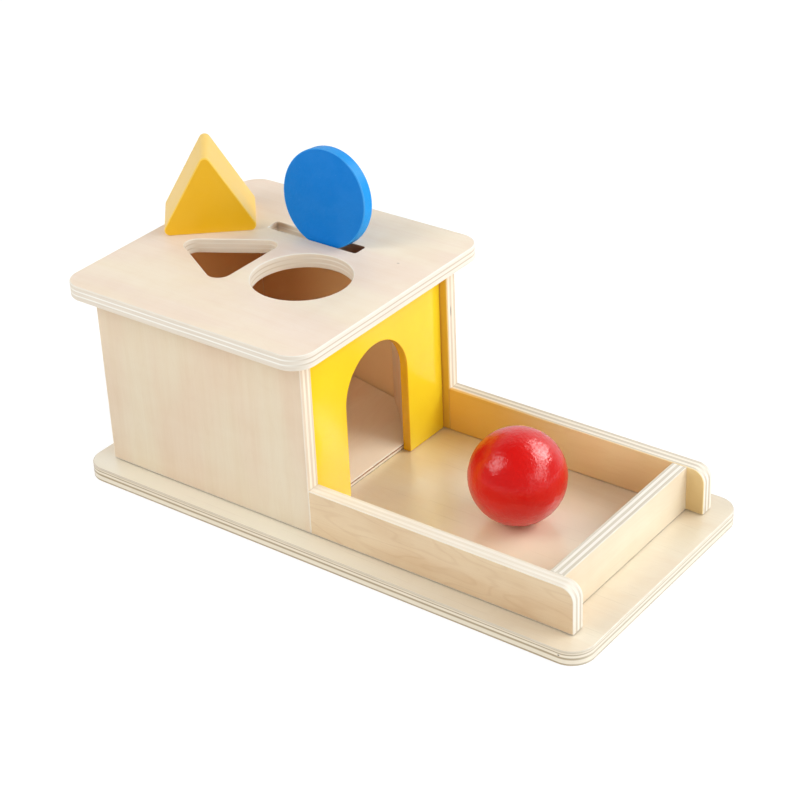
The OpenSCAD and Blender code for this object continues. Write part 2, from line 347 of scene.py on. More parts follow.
# Specks of dust in a paint are 0.2 mm, its orange peel is under 1 mm and so are the brush's ridges in a
# varnish. None of them would show, so all are drawn coarser
PAINT_DUST = 0.9 * MM
PAINT_PEEL = 1.7 * MM
VARNISH_RIDGE = 1.2 * MM

# Tone and rays of a beech dowel, and the dull patches of zinc
BEECH_TONE = 6 * MM
BEECH_RAY = (0.3 * MM, 0.3 * MM, 1.6 * MM)
ZINC_PATCH = 1.5 * MM

# Wood, lacquer, varnish and paint all bend light about this much
CLEAR_IOR = 1.5


def add(tree, kind, inputs=None, **settings):
    """A shader node with its settings; an input is a value or another node's output."""
    made = tree.nodes.new("ShaderNode" + kind)
    for setting, value in settings.items():
        setattr(made, setting, value)
    for socket, value in (inputs or {}).items():
        if isinstance(value, bpy.types.NodeSocket):
            tree.links.new(value, made.inputs[socket])
        else:
            made.inputs[socket].default_value = value
    return made


def new_material(name):
    """A material with its tree and its principled shader."""
    material = bpy.data.materials.new(name)
    material.use_nodes = True
    tree = material.node_tree
    return material, tree, tree.nodes["Principled BSDF"]


def mottle(tree, place, size, detail=2, roughness=0.5):
    """A cloudy pattern; size is how large its grains are, as one length or as one for each direction."""
    scale = (1 / np.broadcast_to(size, 3)).tolist()
    scaled = add(tree, "Mapping", {"Vector": place, "Scale": scale}).outputs["Vector"]
    inputs = {"Vector": scaled, "Scale": 1.0, "Detail": detail, "Roughness": roughness}
    return add(tree, "TexNoise", inputs).outputs["Fac"]


def layer(tree, colour, tone, pattern, run, shares=(0.0, 1.0), where=(), how="MIX"):
    """The colour with a tone laid over it.

    The tone's share goes smoothly from the first share to the second while the pattern's value goes
    through the run, and stays at either share beyond it. Each mask in where is multiplied onto the share.
    """
    (start, stop), (low, high) = run, shares
    inputs = {"Value": pattern, "From Min": start, "From Max": stop, "To Min": low, "To Max": high}
    share = add(tree, "MapRange", inputs, interpolation_type="SMOOTHSTEP").outputs["Result"]
    for mask in where:
        share = add(tree, "Math", {0: share, 1: mask}, operation="MULTIPLY").outputs[0]
    mix = add(tree, "Mix", {SHARE: share, BELOW: colour, ABOVE: tone}, data_type="RGBA", blend_type=how)
    return mix.outputs[MIXED]


def face_veneer(tree, wood, tones, figure):
    """The colour of a board's face, and its streaks and pores.

    The veneer was peeled from the log, so it drifts softly between two tones, shimmers across the grain,
    and shows flames, fine streaks, a few wandering growth lines and short dark pores. The growth lines are
    the contour lines of a slow pattern; figure is how much of the lines, the streaks and the pores shows.
    """
    shimmer = mottle(tree, wood, SHIMMER)
    flames = mottle(tree, wood, FLAME)
    streaks = mottle(tree, wood, STREAK, detail=3, roughness=0.6)
    growth = mottle(tree, wood, GROWTH)
    lines = add(tree, "Math", {0: growth, 1: GROWTH_LINES}, operation="MULTIPLY").outputs[0]
    lines = add(tree, "Math", {0: lines, 1: 0.5}, operation="PINGPONG").outputs[0]
    pores = mottle(tree, wood, PORE, detail=1)
    colour = layer(tree, srgb(tones[0]), srgb(tones[1]), mottle(tree, wood, DRIFT), (0.36, 0.64))
    for tone, pattern, run, shares in (("#F2E4D2", shimmer, (0.35, 0.7), (0.0, 0.12)),
                                       ("#F2E4D2", flames, (0.38, 0.7), (0.0, 0.14)),
                                       ("#D9B88C", streaks, (0.35, 0.7), (0.0, 0.02 + figure / 2)),
                                       ("#C79A68", lines, (0.0, 0.2), (figure, 0.0)),
                                       ("#A87848", pores, (0.68, 0.8), (0.0, figure))):
        colour = layer(tree, colour, srgb(tone), pattern, run, shares, how="MULTIPLY")
    return colour, streaks, pores


def sawn_edge(tree, wood, depth, end, thick, seams, sides, ends):
    """The colour of a board's edge: stripes of two veneers that take turns, with fine fibres along them.

    A stripe's tone goes from sides, where the board's face grain runs along the edge, to ends, where it is
    cut across. The stripes change at the seams, given as shares of the thickness. After an odd number of
    them the last veneer pales back to the first tone.
    """
    share = add(tree, "MapRange", {"Value": depth, "From Max": thick}).outputs["Result"]
    wander = mottle(tree, wood, EDGE_WANDER)
    share = add(tree, "Math", {0: wander, 1: SEAM_WANDER, 2: share}, operation="MULTIPLY_ADD").outputs[0]
    turns = add(tree, "ValToRGB", {"Fac": share})
    stops = turns.color_ramp.elements
    stops[1].color = stops[0].color
    for k, seam in enumerate(seams):
        for side, value in ((-SEAM_BLUR, k % 2), (SEAM_BLUR, 1 - k % 2)):
            stops.new(seam + side + SEAM_WANDER / 2).color = (value, value, value, 1)
    first, second = (add(tree, "Mix", {SHARE: end, BELOW: srgb(along), ABOVE: srgb(across)},
                         data_type="RGBA").outputs[MIXED] for along, across in zip(sides, ends))
    colour = add(tree, "Mix", {SHARE: turns.outputs["Color"], BELOW: first, ABOVE: second},
                 data_type="RGBA").outputs[MIXED]
    fibre = mottle(tree, wood, EDGE_FIBRE, roughness=0.6)
    return layer(tree, colour, srgb("#D8CCB8"), fibre, (0.35, 0.75), (0.0, 0.25), how="MULTIPLY")


def spotted(tree, colour, place, spots, where=()):
    """The colour with soft spots over it, each full within 0.3 of its radii and gone at them."""
    for centre, radii, strength, tone in spots:
        away = add(tree, "VectorMath", {0: place, 1: centre}, operation="SUBTRACT").outputs[0]
        away = add(tree, "VectorMath", {0: away, 1: radii}, operation="DIVIDE").outputs[0]
        away = add(tree, "VectorMath", {0: away}, operation="LENGTH").outputs["Value"]
        colour = layer(tree, colour, tone, away, (0.3, 1.0), (strength, 0.0), where)
    return colour


def plywood(name, faces, sides, ends, inner=None, seams=WALL_PLY, thick=BOARD_T, figure=0.02, rough=0.45,
            coat=0.0, marks_and_painted_light=(), painted_light_and_shade=(), shades=()):
    """Birch plywood, sanded and given a clear matt lacquer: pale, even wood with striped, drier edges.

    faces are the two tones of its face veneer, and sides and ends those of its edges, cut along the grain
    and across it. The underside, or the side that looks into the box, takes the inner tone, if one is
    given:
    partly a warmer veneer and partly painted shade of the box's inside. figure is how much of the grain
    shows, rough is the roughness of the faces, and coat is how much of a second, smoother coat of lacquer
    there is. Spots anywhere on the board are knots, smudges and painted bounce light, spots on its flat
    faces alone are painted light and painted shade, and shades are painted shade on the walls of its holes.
    """
    material, tree, shader = new_material(name)
    wood = add(tree, "Attribute", attribute_name="wood").outputs["Vector"]
    depth = add(tree, "SeparateXYZ", {0: wood}).outputs["Z"]
    cut = add(tree, "Attribute", attribute_name="cut").outputs["Vector"]
    kind, end, eased_corner = add(tree, "SeparateXYZ", {0: cut}).outputs
    face = add(tree, "Math", {0: kind, 1: 0.5}, operation="LESS_THAN").outputs[0]
    edge = add(tree, "Math", {0: kind, 1: 0.5}, operation="GREATER_THAN").outputs[0]
    hole = add(tree, "Math", {0: kind, 1: 1.5}, operation="GREATER_THAN").outputs[0]

    # The wood: face veneers and striped edges, some of them with painted light
    colour, streaks, pores = face_veneer(tree, wood, faces, figure)
    # The inside's tone: partly a warmer veneer, partly painted shade
    if inner:
        colour = layer(tree, colour, srgb(inner), depth, (0.0, thick), (0.85, 0.0))
    stripes = sawn_edge(tree, wood, depth, end, thick, seams, sides, ends)
    # Painted light: the walls of holes are painted paler
    stripes = layer(tree, stripes, srgb("#FFF3D8"), kind, (1.0, 2.0), (0.0, 0.3))
    colour = layer(tree, colour, stripes, kind, (0.0, 1.0))
    # A sanded corner is paler, partly from the sanding and partly as a painted highlight along the arris
    colour = layer(tree, colour, srgb("#FFF9EE"), eased_corner, (0.0, 1.0), (0.0, 0.45))

    # Painted shade: the foot of a board that stands on the base is darkened where it meets the base
    place = add(tree, "TexCoord").outputs["Object"]
    level = add(tree, "SeparateXYZ", {0: place}).outputs["Z"]
    above = add(tree, "Math", {0: level, 1: BOARD_T + SEAT_GAP}, operation="GREATER_THAN").outputs[0]
    painted_foot_shade = (BOARD_T + FOOT_GAP, BOARD_T + FOOT_GAP + PLY_EASE)
    colour = layer(tree, colour, srgb("#5A3A1C"), level, painted_foot_shade, (0.85, 0.0), where=(above, edge))

    # Spots: marks and painted light anywhere, painted light and shade on faces, painted shade in holes
    colour = spotted(tree, colour, place, marks_and_painted_light)
    colour = spotted(tree, colour, place, painted_light_and_shade, where=(face,))
    colour = spotted(tree, colour, place, shades, where=(hole,))
    tree.links.new(colour, shader.inputs["Base Color"])

    # The lacquer: satin on the faces, a little drier along the streaks, and dry on edges, which soak it in
    satin = add(tree, "MapRange", {"Value": streaks, "From Min": 0.2, "From Max": 0.8,
                                   "To Min": rough - 0.04, "To Max": rough + 0.06},
                interpolation_type="SMOOTHSTEP").outputs["Result"]
    dry = add(tree, "Math", {0: edge, 1: EDGE_ROUGH - rough, 2: satin}, operation="MULTIPLY_ADD")
    tree.links.new(dry.outputs[0], shader.inputs["Roughness"])
    relief = add(tree, "Math", {0: streaks, 1: pores}, operation="ADD").outputs[0]
    bump = add(tree, "Bump", {"Height": relief, "Strength": 0.2, "Distance": PORE_DEPTH})
    tree.links.new(bump.outputs["Normal"], shader.inputs["Normal"])
    shader.inputs["IOR"].default_value = CLEAR_IOR
    shader.inputs["Coat Weight"].default_value = coat
    shader.inputs["Coat Roughness"].default_value = 0.22
    return material


def paint(name, colour, rim, thin_and_highlight, wear_and_highlight, rough, level, peel, grain=0.0, coat=0.0):
    """Water-based paint, brushed and rolled on wood: even, a little cloudy, with a fine orange peel.

    rim is its colour on the sawn edges, which drink it; on the disc it is paler, painted light on its rim,
    and on the block paler, painted sheen on its sloping sides. The next colour is its colour where the
    paint is thinner on an eased corner, and on the disc and the block it is paler, a painted highlight
    along their corners; the share after it is how much of that shows. The same colour lies in its clouds
    and specks of dust. rough is its roughness, level is how strongly its skin mirrors, peel is the orange
    peel's height, grain is how much of the wood's grain still shows through, and coat is how much of a
    smoother gloss varnish lies over it, in an uneven brushed layer.
    """
    material, tree, shader = new_material(name)
    place = add(tree, "TexCoord").outputs["Object"]
    cut = add(tree, "Attribute", attribute_name="cut").outputs["Vector"]
    kind, _, eased_corner = add(tree, "SeparateXYZ", {0: cut}).outputs

    # The colour: paler or darker in clouds, on eased corners and at specks of dust
    clouds = mottle(tree, place, PAINT_CLOUD, detail=3, roughness=0.6)
    wear_and_highlight_mottle = mottle(tree, place, PAINT_WEAR_AND_HIGHLIGHT, detail=4, roughness=0.65)
    dust = mottle(tree, place, PAINT_DUST, detail=1)
    # Paler rims: painted light on the disc's rim and painted sheen on the block's sloping sides
    mixed = layer(tree, srgb(colour), srgb(rim), kind, (0.0, 1.0))
    mixed = layer(tree, mixed, srgb(thin_and_highlight), clouds, (0.3, 0.7), (0.0, 0.1))
    # Eased corners: darker where the door's paint wears thinner, a painted highlight on the disc and the
    # block
    mixed = layer(tree, mixed, srgb(thin_and_highlight), wear_and_highlight_mottle, (0.3, 0.6), (wear_and_highlight / 2, wear_and_highlight), where=(eased_corner,))
    mixed = layer(tree, mixed, srgb(thin_and_highlight), dust, (0.74, 0.8), (0.0, 0.35))
    tree.links.new(mixed, shader.inputs["Base Color"])

    # The skin: waves and orange peel, and the wood's grain where it shows through
    waves = mottle(tree, place, PAINT_WAVE, detail=1)
    skin = mottle(tree, place, PAINT_PEEL, roughness=0.6)
    height = add(tree, "Math", {0: waves, 1: skin}, operation="ADD").outputs[0]
    if grain:
        fibres = mottle(tree, place, PAINT_GRAIN, detail=3, roughness=0.6)
        height = add(tree, "Math", {0: fibres, 1: grain, 2: height}, operation="MULTIPLY_ADD").outputs[0]
    bump = add(tree, "Bump", {"Height": height, "Strength": 1.0, "Distance": peel}).outputs["Normal"]
    tree.links.new(bump, shader.inputs["Normal"])
    dull = add(tree, "MapRange", {"Value": clouds, "From Min": 0.3, "From Max": 0.7,
                                  "To Min": rough, "To Max": rough + 0.06},
               interpolation_type="SMOOTHSTEP").outputs["Result"]
    tree.links.new(dull, shader.inputs["Roughness"])
    shader.inputs["IOR"].default_value = CLEAR_IOR
    shader.inputs["Specular IOR Level"].default_value = level

    # The varnish: thicker and thinner by 0.3 of itself from ridge to ridge, so its glints break up
    if coat:
        ridges = mottle(tree, place, VARNISH_RIDGE, detail=1)
        varnish = add(tree, "MapRange", {"Value": ridges, "From Min": 0.35, "From Max": 0.65,
                                         "To Min": 0.7 * coat, "To Max": 1.3 * coat},
                      interpolation_type="SMOOTHSTEP").outputs["Result"]
        tree.links.new(varnish, shader.inputs["Coat Weight"])
        tree.links.new(bump, shader.inputs["Coat Normal"])
        shader.inputs["Coat Roughness"].default_value = 0.1
    return material


def beech(name):
    """Turned beech dowel, bare: pinkish tan with the short dark flecks of its rays."""
    material, tree, shader = new_material(name)
    place = add(tree, "TexCoord").outputs["Object"]
    tone = mottle(tree, place, BEECH_TONE, detail=3, roughness=0.6)
    rays = mottle(tree, place, BEECH_RAY, detail=1)
    colour = layer(tree, srgb("#DDB98F"), srgb("#CFA477"), tone, (0.3, 0.7))
    colour = layer(tree, colour, srgb("#9C6B43"), rays, (0.62, 0.72), (0.0, 0.6))
    tree.links.new(colour, shader.inputs["Base Color"])
    shader.inputs["Roughness"].default_value = 0.6
    shader.inputs["IOR"].default_value = CLEAR_IOR
    return material


def zinc(name):
    """Bright zinc plate on a steel screw: blue-white metal, dulled in soft patches by handling."""
    material, tree, shader = new_material(name)
    place = add(tree, "TexCoord").outputs["Object"]
    patches = mottle(tree, place, ZINC_PATCH, detail=3, roughness=0.6)
    colour = add(tree, "Mix", {SHARE: patches, BELOW: srgb("#C9CCD1"), ABOVE: srgb("#A9ABAE")},
                 data_type="RGBA").outputs[MIXED]
    dull = add(tree, "MapRange", {"Value": patches, "From Min": 0.3, "From Max": 0.7,
                                  "To Min": 0.25, "To Max": 0.45},
               interpolation_type="SMOOTHSTEP").outputs["Result"]
    tree.links.new(colour, shader.inputs["Base Color"])
    tree.links.new(dull, shader.inputs["Roughness"])
    shader.inputs["Metallic"].default_value = 1.0
    return material


def spot(centre, radii, strength, tone):
    """A soft spot on this one object: centre and three radii in millimetres, its strength and its tone."""
    return np.multiply(centre, MM).tolist(), np.multiply(radii, MM).tolist(), strength, srgb(tone)


# Where the spots lie, in millimetres: the far wall's front edge and inner face, the near edge of the base,
# and the tops of the base and the roof
FRONT_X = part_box("right_side_panel")[1].x / MM
FAR_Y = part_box("right_side_panel")[0].y / MM
NEAR_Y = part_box("base_board")[0].y / MM
FLOOR_Z = BOARD_T / MM
ROOF_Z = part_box("top_board")[1].z / MM

# A knot, a dark dot and a smudge
DARK_BROWN = "#5E4634"
FAR_KNOT = spot((FRONT_X, FAR_Y + 3.5, 75.8), (0.6, 0.45, 4.2), 0.75, DARK_BROWN)
BASE_DOT = spot((138.7, NEAR_Y, 4.9), (0.7, 0.7, 0.6), 0.9, DARK_BROWN)
ROOF_SMUDGE = spot((-20.7, 29.8, ROOF_Z), (1.1, 0.8, 0.8), 0.35, DARK_BROWN)

# Painted shade: the slot's walls are painted brown, deepest in the middle, and darker at its left end too
SLOT_SHADE = spot((-46, 33, 107), (24, 12, 16), 0.96, "#7A4822")
SLOT_END_SHADE = spot((-102, 35, 111), (14, 6, 5), 0.7, "#9A7048")

# Painted bounce light: the yellow door's light is painted in yellow on the wood beside it
PANEL_DOOR_BOUNCE = spot((FRONT_X - 2, FAR_Y, 50), (6, 1.5, 150), 0.9, "#E8B81A")
RAIL_DOOR_BOUNCE = spot((FRONT_X, FAR_Y, 20), (78, 3, 80), 0.72, "#FABE16")
TRAY_DOOR_BOUNCE = spot((-14, 30, FLOOR_Z), (34, 60, 3), 0.35, "#FFE27C")

# Painted warm light on the far rail's inner face, and painted shade at its outer end and in the house's
# back corner
RAIL_WARM_LIGHT = spot((64, FAR_Y, 20), (250, 0.6, 80), 0.75, "#FFE6A8")
RAIL_SHADE = spot((112, FAR_Y, 12), (30, 1.5, 40), 0.3, "#D49C5C")
RAIL_END_SHADE = spot((135, FAR_Y, 18), (10, 1.5, 30), 0.8, "#D8B77B")
HOUSE_SHADE = spot((-131, FAR_Y, 62), (52, 2, 85), 0.5, "#C88A52")

# Painted light: the tray, the strip before the near wall and the ramp are painted paler, as if more lit
TRAY_PAINTED_LIGHT = spot((70, -6, FLOOR_Z), (82, 64, 3), 0.95, "#FFF8DC")
STRIP_PAINTED_LIGHT = spot((-60, -70, FLOOR_Z), (185, 14, 3), 0.95, "#FFF9E6")
RAMP_PAINTED_LIGHT = spot((-20, 0, 10), (32, 90, 14), 0.9, "#FFF0D4")

# Pale plywood whose inside is partly a warmer veneer and partly painted shade: the roof, the walls, and the
# back
INSIDE_VENEER_AND_SHADE = "#FFD498"
WALL_TONES = {"faces": ("#E9DBC1", "#E7D3B9"), "sides": ("#E6D6BE", "#FBF2E0"),
              "ends": ("#F6F0E4", "#D2C0A6")}
roof_ply = plywood("birch_plywood_roof", faces=("#F8EAD2", "#F6E4D1"), sides=("#EAE0D0", "#FFFCF4"),
                   ends=("#F4EEE2", "#D6C8B2"), inner=INSIDE_VENEER_AND_SHADE, seams=ROOF_PLY, marks_and_painted_light=[ROOF_SMUDGE],
                   shades=[SLOT_SHADE, SLOT_END_SHADE])
wall_ply = plywood("birch_plywood_walls", **WALL_TONES, inner=INSIDE_VENEER_AND_SHADE, marks_and_painted_light=[FAR_KNOT, PANEL_DOOR_BOUNCE],
                   painted_light_and_shade=[HOUSE_SHADE])
# The back's inside is painted darker still: painted shade of the house's back corner
back_ply_painted_shade = plywood("birch_plywood_back_painted_shade", **WALL_TONES, inner="#E2A45E")

# The base has a second coat of lacquer, so it looks sleeker and mirrors a little
base_ply = plywood("birch_plywood_base", faces=("#F1E7D0", "#EFE1C8"), sides=("#B8A482", "#F8EEDA"),
                   ends=("#CFC2A8", "#F8F0E0"), seams=BASE_PLY, figure=0.03, rough=0.3, coat=0.9,
                   marks_and_painted_light=[BASE_DOT], painted_light_and_shade=[TRAY_PAINTED_LIGHT, STRIP_PAINTED_LIGHT, TRAY_DOOR_BOUNCE])

# The rails: tan with strong figure, cream with stronger figure, and plain across the end
near_rail_ply = plywood("birch_plywood_near_rail", faces=("#E8D1AE", "#DEC19B"),
                        sides=("#F0E7D6", "#F8F1E4"), ends=("#F6F1E6", "#D8CDBB"), figure=0.12)
# The far rail is yellowish from painted light on its inner face, with painted shade at its outer end
far_rail_ply = plywood("birch_plywood_far_rail", faces=("#EBDDC2", "#E2CFAE"),
                       sides=("#DDD3C0", "#FAF3E4"), ends=("#F6F1E6", "#D3C6B2"), figure=0.2,
                       marks_and_painted_light=[RAIL_WARM_LIGHT, RAIL_DOOR_BOUNCE], painted_light_and_shade=[RAIL_SHADE, RAIL_END_SHADE])
end_rail_ply = plywood("birch_plywood_end_rail", faces=("#F2E6CC", "#EFE0C5"),
                       sides=("#DCD3C2", "#FBF6EC"), ends=("#F6F1E6", "#D3C6B2"))

# Three plies with a much darker core, which draws one brown line along each edge
thin_ply = plywood("three_ply_board", faces=("#FFE6C2", "#FCDAB2"), sides=("#FFF8E8", "#8A5028"),
                   ends=("#FFF8E8", "#8A5028"), seams=THREE_PLY, thick=THIN_T, figure=0.04,
                   painted_light_and_shade=[RAMP_PAINTED_LIGHT])

# Satin paints, the door's darker where it wears, and one gloss paint under varnish, for the ball
yellow = paint("yellow_satin_paint", "#FFDF2C", rim="#F6BA04", thin_and_highlight="#E9AE12", wear_and_highlight=0.5, rough=0.14,
               level=0.5, peel=0.005 * MM)
# The block's paler sides and corners are painted sheen and a painted highlight
amber = paint("amber_satin_paint", "#F0B812", rim="#FBD162", thin_and_highlight="#F9D04A", wear_and_highlight=0.6, rough=0.28,
              level=0.4, peel=0.01 * MM, grain=0.5)
# The disc's paler rim and corners are painted light and a painted highlight
blue = paint("blue_satin_paint", "#0A7CD6", rim="#1296E8", thin_and_highlight="#58AAF0", wear_and_highlight=0.5, rough=0.36,
             level=0.12, peel=0.2 * MM)
red = paint("red_gloss_paint", "#D60F0A", rim="#D60F0A", thin_and_highlight="#E4261A", wear_and_highlight=0.0, rough=0.3,
            level=0.16, peel=0.24 * MM, coat=0.6)
dowel_beech = beech("turned_beech")
screw_zinc = zinc("bright_zinc_plate")


# Boards of the box

ALONG = np.array([1.0, 0.0])
UPRIGHT = np.array([0.0, 1.0])


def flat_on(level):
    """Lies flat: along X, across Y, up."""
    return (0, 0, level), (1, 0, 0), (0, 1, 0), (0, 0, 1)


def side_wall(y, side):
    """Stands along the box with its inner face at y, and runs along -side X, up, and outwards to side Y."""
    return (0, y, 0), (-side, 0, 0), (0, 0, 1), (0, side, 0)


def cross_wall(x, side):
    """Stands across the box with its inner face at x, and runs along side Y, up, and outwards to side X."""
    return (x, 0, 0), (0, side, 0), (0, 0, 1), (side, 0, 0)


def outer_wall(node, side):
    """A side wall's place, its inner face one thickness in from the node's outer side."""
    low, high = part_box(node)
    outer = max(side * low.y, side * high.y)
    return side_wall(side * (outer - BOARD_T), side)


def base_board():
    """The long board that everything stands on, with a countersunk hole beneath for each screw.

    A hole's centre is where the screw's tip is, to a tenth of a millimetre.
    """
    low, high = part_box("base_board")
    screws = frame["nodes"]["base_screws"].data.vertices
    points = np.empty(3 * len(screws), np.float32)
    screws.foreach_get("co", points)
    points = points.reshape(-1, 3).astype(float)
    tips = points[points[:, 2] > points[:, 2].max() - 0.1 * MM, :2]
    outside = rectangle(low.x, high.x, low.y, high.y, CORNER_R)
    bores = [round_opening(x, y, SCREW_BORE_R) for x, y in np.unique(tips.round(4), axis=0)]
    profiles = [eased(outside, BOARD_T, PLY_EASE)] + [countersink(bore, BOARD_T) for bore in bores]
    paths = [outside, *bores]
    return board("base_board_sanded", paths, BOARD_T, flat_on(0), ALONG, base_ply, profiles=profiles)


def top_board():
    """The roof, with its round hole, its triangular hole and its slot."""
    low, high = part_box("top_board")
    hole_x, slot_x = high.x - HOLE_SETBACK, high.x - SLOT_SETBACK
    slot = corners_about(slot_x, SLOT_OFFSET, SLOT_L / 2, SLOT_W / 2)
    paths = [rectangle(low.x, high.x, low.y, high.y, CORNER_R),
             round_opening(hole_x, -HOLE_OFFSET, HOLE_D / 2),
             opening(triangle(hole_x - HOLE_PITCH, -HOLE_OFFSET, TRI_SIDE, math.pi), [TRI_R] * 3),
             opening(slot, [SLOT_R] * 4)]
    return board("top_board_sanded", paths, BOARD_T, flat_on(low.z), ALONG, roof_ply)


def side_panel(node, side):
    """A tall side wall of the house, its grain upright."""
    low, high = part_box(node)
    ends = sorted((-side * low.x, -side * high.x))
    path = rectangle(*ends, low.z + FOOT_GAP, high.z, CUT_CORNER)
    return board(f"{node}_sanded", [path], BOARD_T, outer_wall(node, side), UPRIGHT, wall_ply)


def back_panel():
    """The rear wall between the side walls."""
    low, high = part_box("back_panel")
    path = rectangle(low.y, high.y, low.z + FOOT_GAP, high.z, CUT_CORNER)
    return board("back_panel_sanded", [path], BOARD_T, cross_wall(high.x, -1), UPRIGHT, back_ply_painted_shade)


def door_panel():
    """The painted wall with its arch: two straight jambs that turn into a half circle."""
    low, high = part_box("door_panel")
    half, crown, foot = ARCH_W / 2, low.z + ARCH_H, low.z + FOOT_GAP
    near, far = low.y + DOOR_GAP, high.y - DOOR_GAP
    corners = [(near, foot), (-half, foot), (-half, crown), (half, crown), (half, foot),
               (far, foot), (far, high.z), (near, high.z)]
    radii = [CUT_CORNER] * 2 + [half] * 2 + [CUT_CORNER] * 4
    place = cross_wall(low.x, 1)
    return board("door_panel_painted", [outline(corners, radii)], high.x - low.x, place, UPRIGHT, yellow)


def tray_rail(node, side, ply):
    """A low side rail with its top outer corner rounded off."""
    low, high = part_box(node)
    foot = low.z + FOOT_GAP
    corners = [(low.x, foot), (high.x, foot), (high.x, high.z), (low.x, high.z)]
    radii = [CUT_CORNER, CUT_CORNER, RAIL_R, CUT_CORNER]
    if side > 0:
        corners, radii = [(-x, z) for x, z in corners[::-1]], radii[::-1]
    return board(f"{node}_sanded", [outline(corners, radii)], BOARD_T, outer_wall(node, side), ALONG, ply)


def tray_end_rail():
    """The low rail across the tray's open end, whose foot is hollow.

    The foot rises by the bow times 1 less the square of the share of the way out from the middle.
    """
    low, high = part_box("tray_end_rail")
    shares = (-1, -0.6, -0.3, 0, 0.3, 0.6, 1)
    foot = [(share * high.y, low.z + END_RAIL_BOW * (1 - share ** 2)) for share in shares]
    path = outline([*foot, (high.y, high.z), (low.y, high.z)], [0] * len(foot) + [CUT_CORNER] * 2)
    return board("tray_end_rail_sanded", [path], BOARD_T, cross_wall(low.x, 1), ALONG, end_rail_ply)


def ball_ramp():
    """The thin sloping board, measured from its low lower edge.

    That edge lies one thickness times the slope's sine behind the board's foremost point, and the length is
    the way from there to the back, divided by the slope's cosine.
    """
    low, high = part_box("ball_ramp")
    down, over = math.cos(RAMP_SLOPE), math.sin(RAMP_SLOPE)
    corner = high.x - THIN_T * over
    length = (corner - low.x) / down
    place = (corner, 0, low.z), (down, 0, -over), (0, 1, 0), (over, 0, down)
    path = rectangle(-length, 0, low.y + RAMP_GAP, high.y - RAMP_GAP, CUT_CORNER)
    return board("ball_ramp_sanded", [path], THIN_T, place, UPRIGHT, thin_ply, ease=PLY_EASE / 2)


def ramp_cleat():
    """The strip under the ramp's high end, its top cut to the slope."""
    low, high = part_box("ramp_cleat")
    fall = (high.x - low.x) * math.tan(RAMP_SLOPE)
    corners = [(low.x, low.z), (high.x, low.z), (high.x, high.z - fall), (low.x, high.z)]
    path = outline(corners, [CUT_CORNER] * 4)
    return board("ramp_cleat_sanded", [path], high.y - low.y, side_wall(high.y, -1), UPRIGHT, wall_ply)


def corner_guide(node, side):
    """A thin upright board at 45 degrees; its ends are mitred and its foot is cut to the ramp's slope."""
    low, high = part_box(node)
    leg = high.x - low.x
    face = leg * math.sqrt(2)
    ramp_low, ramp_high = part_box("ball_ramp")
    wall_y = side * max(abs(low.y), abs(high.y))
    half = math.sqrt(0.5)
    along, out = np.array((half, -side * half, 0)), np.array((-half, -side * half, 0))
    start = np.array((low.x, wall_y, 0)) - THIN_T * out
    place = (start, along, (0, 0, 1), out) if side > 0 else (start + THIN_T * out, along, (0, 0, 1), -out)

    def mitred(local):
        """Draws the ends in by the depth behind the face, then lifts the foot onto the ramp.

        The length shrinks about its middle by twice that depth, and the height is spread evenly between the
        top and the ramp's upper side, which is one thickness and a small gap above its lower one.
        """
        u, v, w = local.T
        behind = THIN_T - w if side > 0 else w
        u = face / 2 + (u - face / 2) * (face - 2 * behind) / face
        x = place[0][0] + u * along[0] + w * place[3][0]
        floor = ramp_low.z + (ramp_high.x - THIN_T * math.sin(RAMP_SLOPE) - x) * math.tan(RAMP_SLOPE)
        floor = floor + (THIN_T + SEAT_GAP) / math.cos(RAMP_SLOPE)
        v = floor + (v - low.z) * (high.z - floor) / (high.z - low.z)
        return np.stack([u, v, w], -1)

    name, ease = f"{node}_sanded", PLY_EASE / 2
    path = rectangle(0, face, low.z, high.z, CUT_CORNER)
    return board(name, [path], THIN_T, place, UPRIGHT, thin_ply, ease=ease, shape=mitred)


# The loose pieces

def ball():
    """A turned ball: rings of latitude about a pole, whose radius brushed paint makes uneven.

    The surface is drawn in by the brush depth times 1 plus half the sum of two products of sine waves
    across it, so by 0 to twice that depth.
    """
    low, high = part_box("ball")
    centre, radius = np.array((low + high) / 2), (high.z - low.z) / 2
    latitude = np.linspace(0, math.pi, BALL_ROWS + 1)[1:-1, None]
    turn = np.linspace(0, 2 * math.pi, BALL_COLUMNS, endpoint=False)[None]
    normal = np.stack([np.sin(latitude) * np.cos(turn), np.sin(latitude) * np.sin(turn),
                       np.cos(latitude) * np.ones_like(turn)], -1).reshape(-1, 3)
    normal = np.concatenate([normal, [[0, 0, 1], [0, 0, -1]]])
    x, y, z = normal.T
    uneven = np.sin(9 * x + 4 * y) * np.sin(7 * y - 5 * z + 1) + np.sin(11 * z + 6 * x) * np.sin(8 * y + 2)
    points = centre + normal * (radius - BRUSH_DEPTH * (1 + uneven[:, None] / 2))
    count = (BALL_ROWS - 1) * BALL_COLUMNS
    index = np.arange(count).reshape(BALL_ROWS - 1, BALL_COLUMNS)
    ahead = np.roll(index, -1, 1)
    quads = np.stack([index[:-1], index[1:], ahead[1:], ahead[:-1]], -1).reshape(-1, 4).tolist()
    top, foot = np.full(BALL_COLUMNS, count), np.full(BALL_COLUMNS, count + 1)
    top_cap = np.stack([top, index[0], ahead[0]], -1).tolist()
    foot_cap = np.stack([foot, ahead[-1], index[-1]], -1).tolist()
    piece = surface("ball_painted", points, quads + top_cap + foot_cap, red)
    piece.data.polygons.foreach_set("use_smooth", np.ones(len(piece.data.polygons), bool))
    return piece


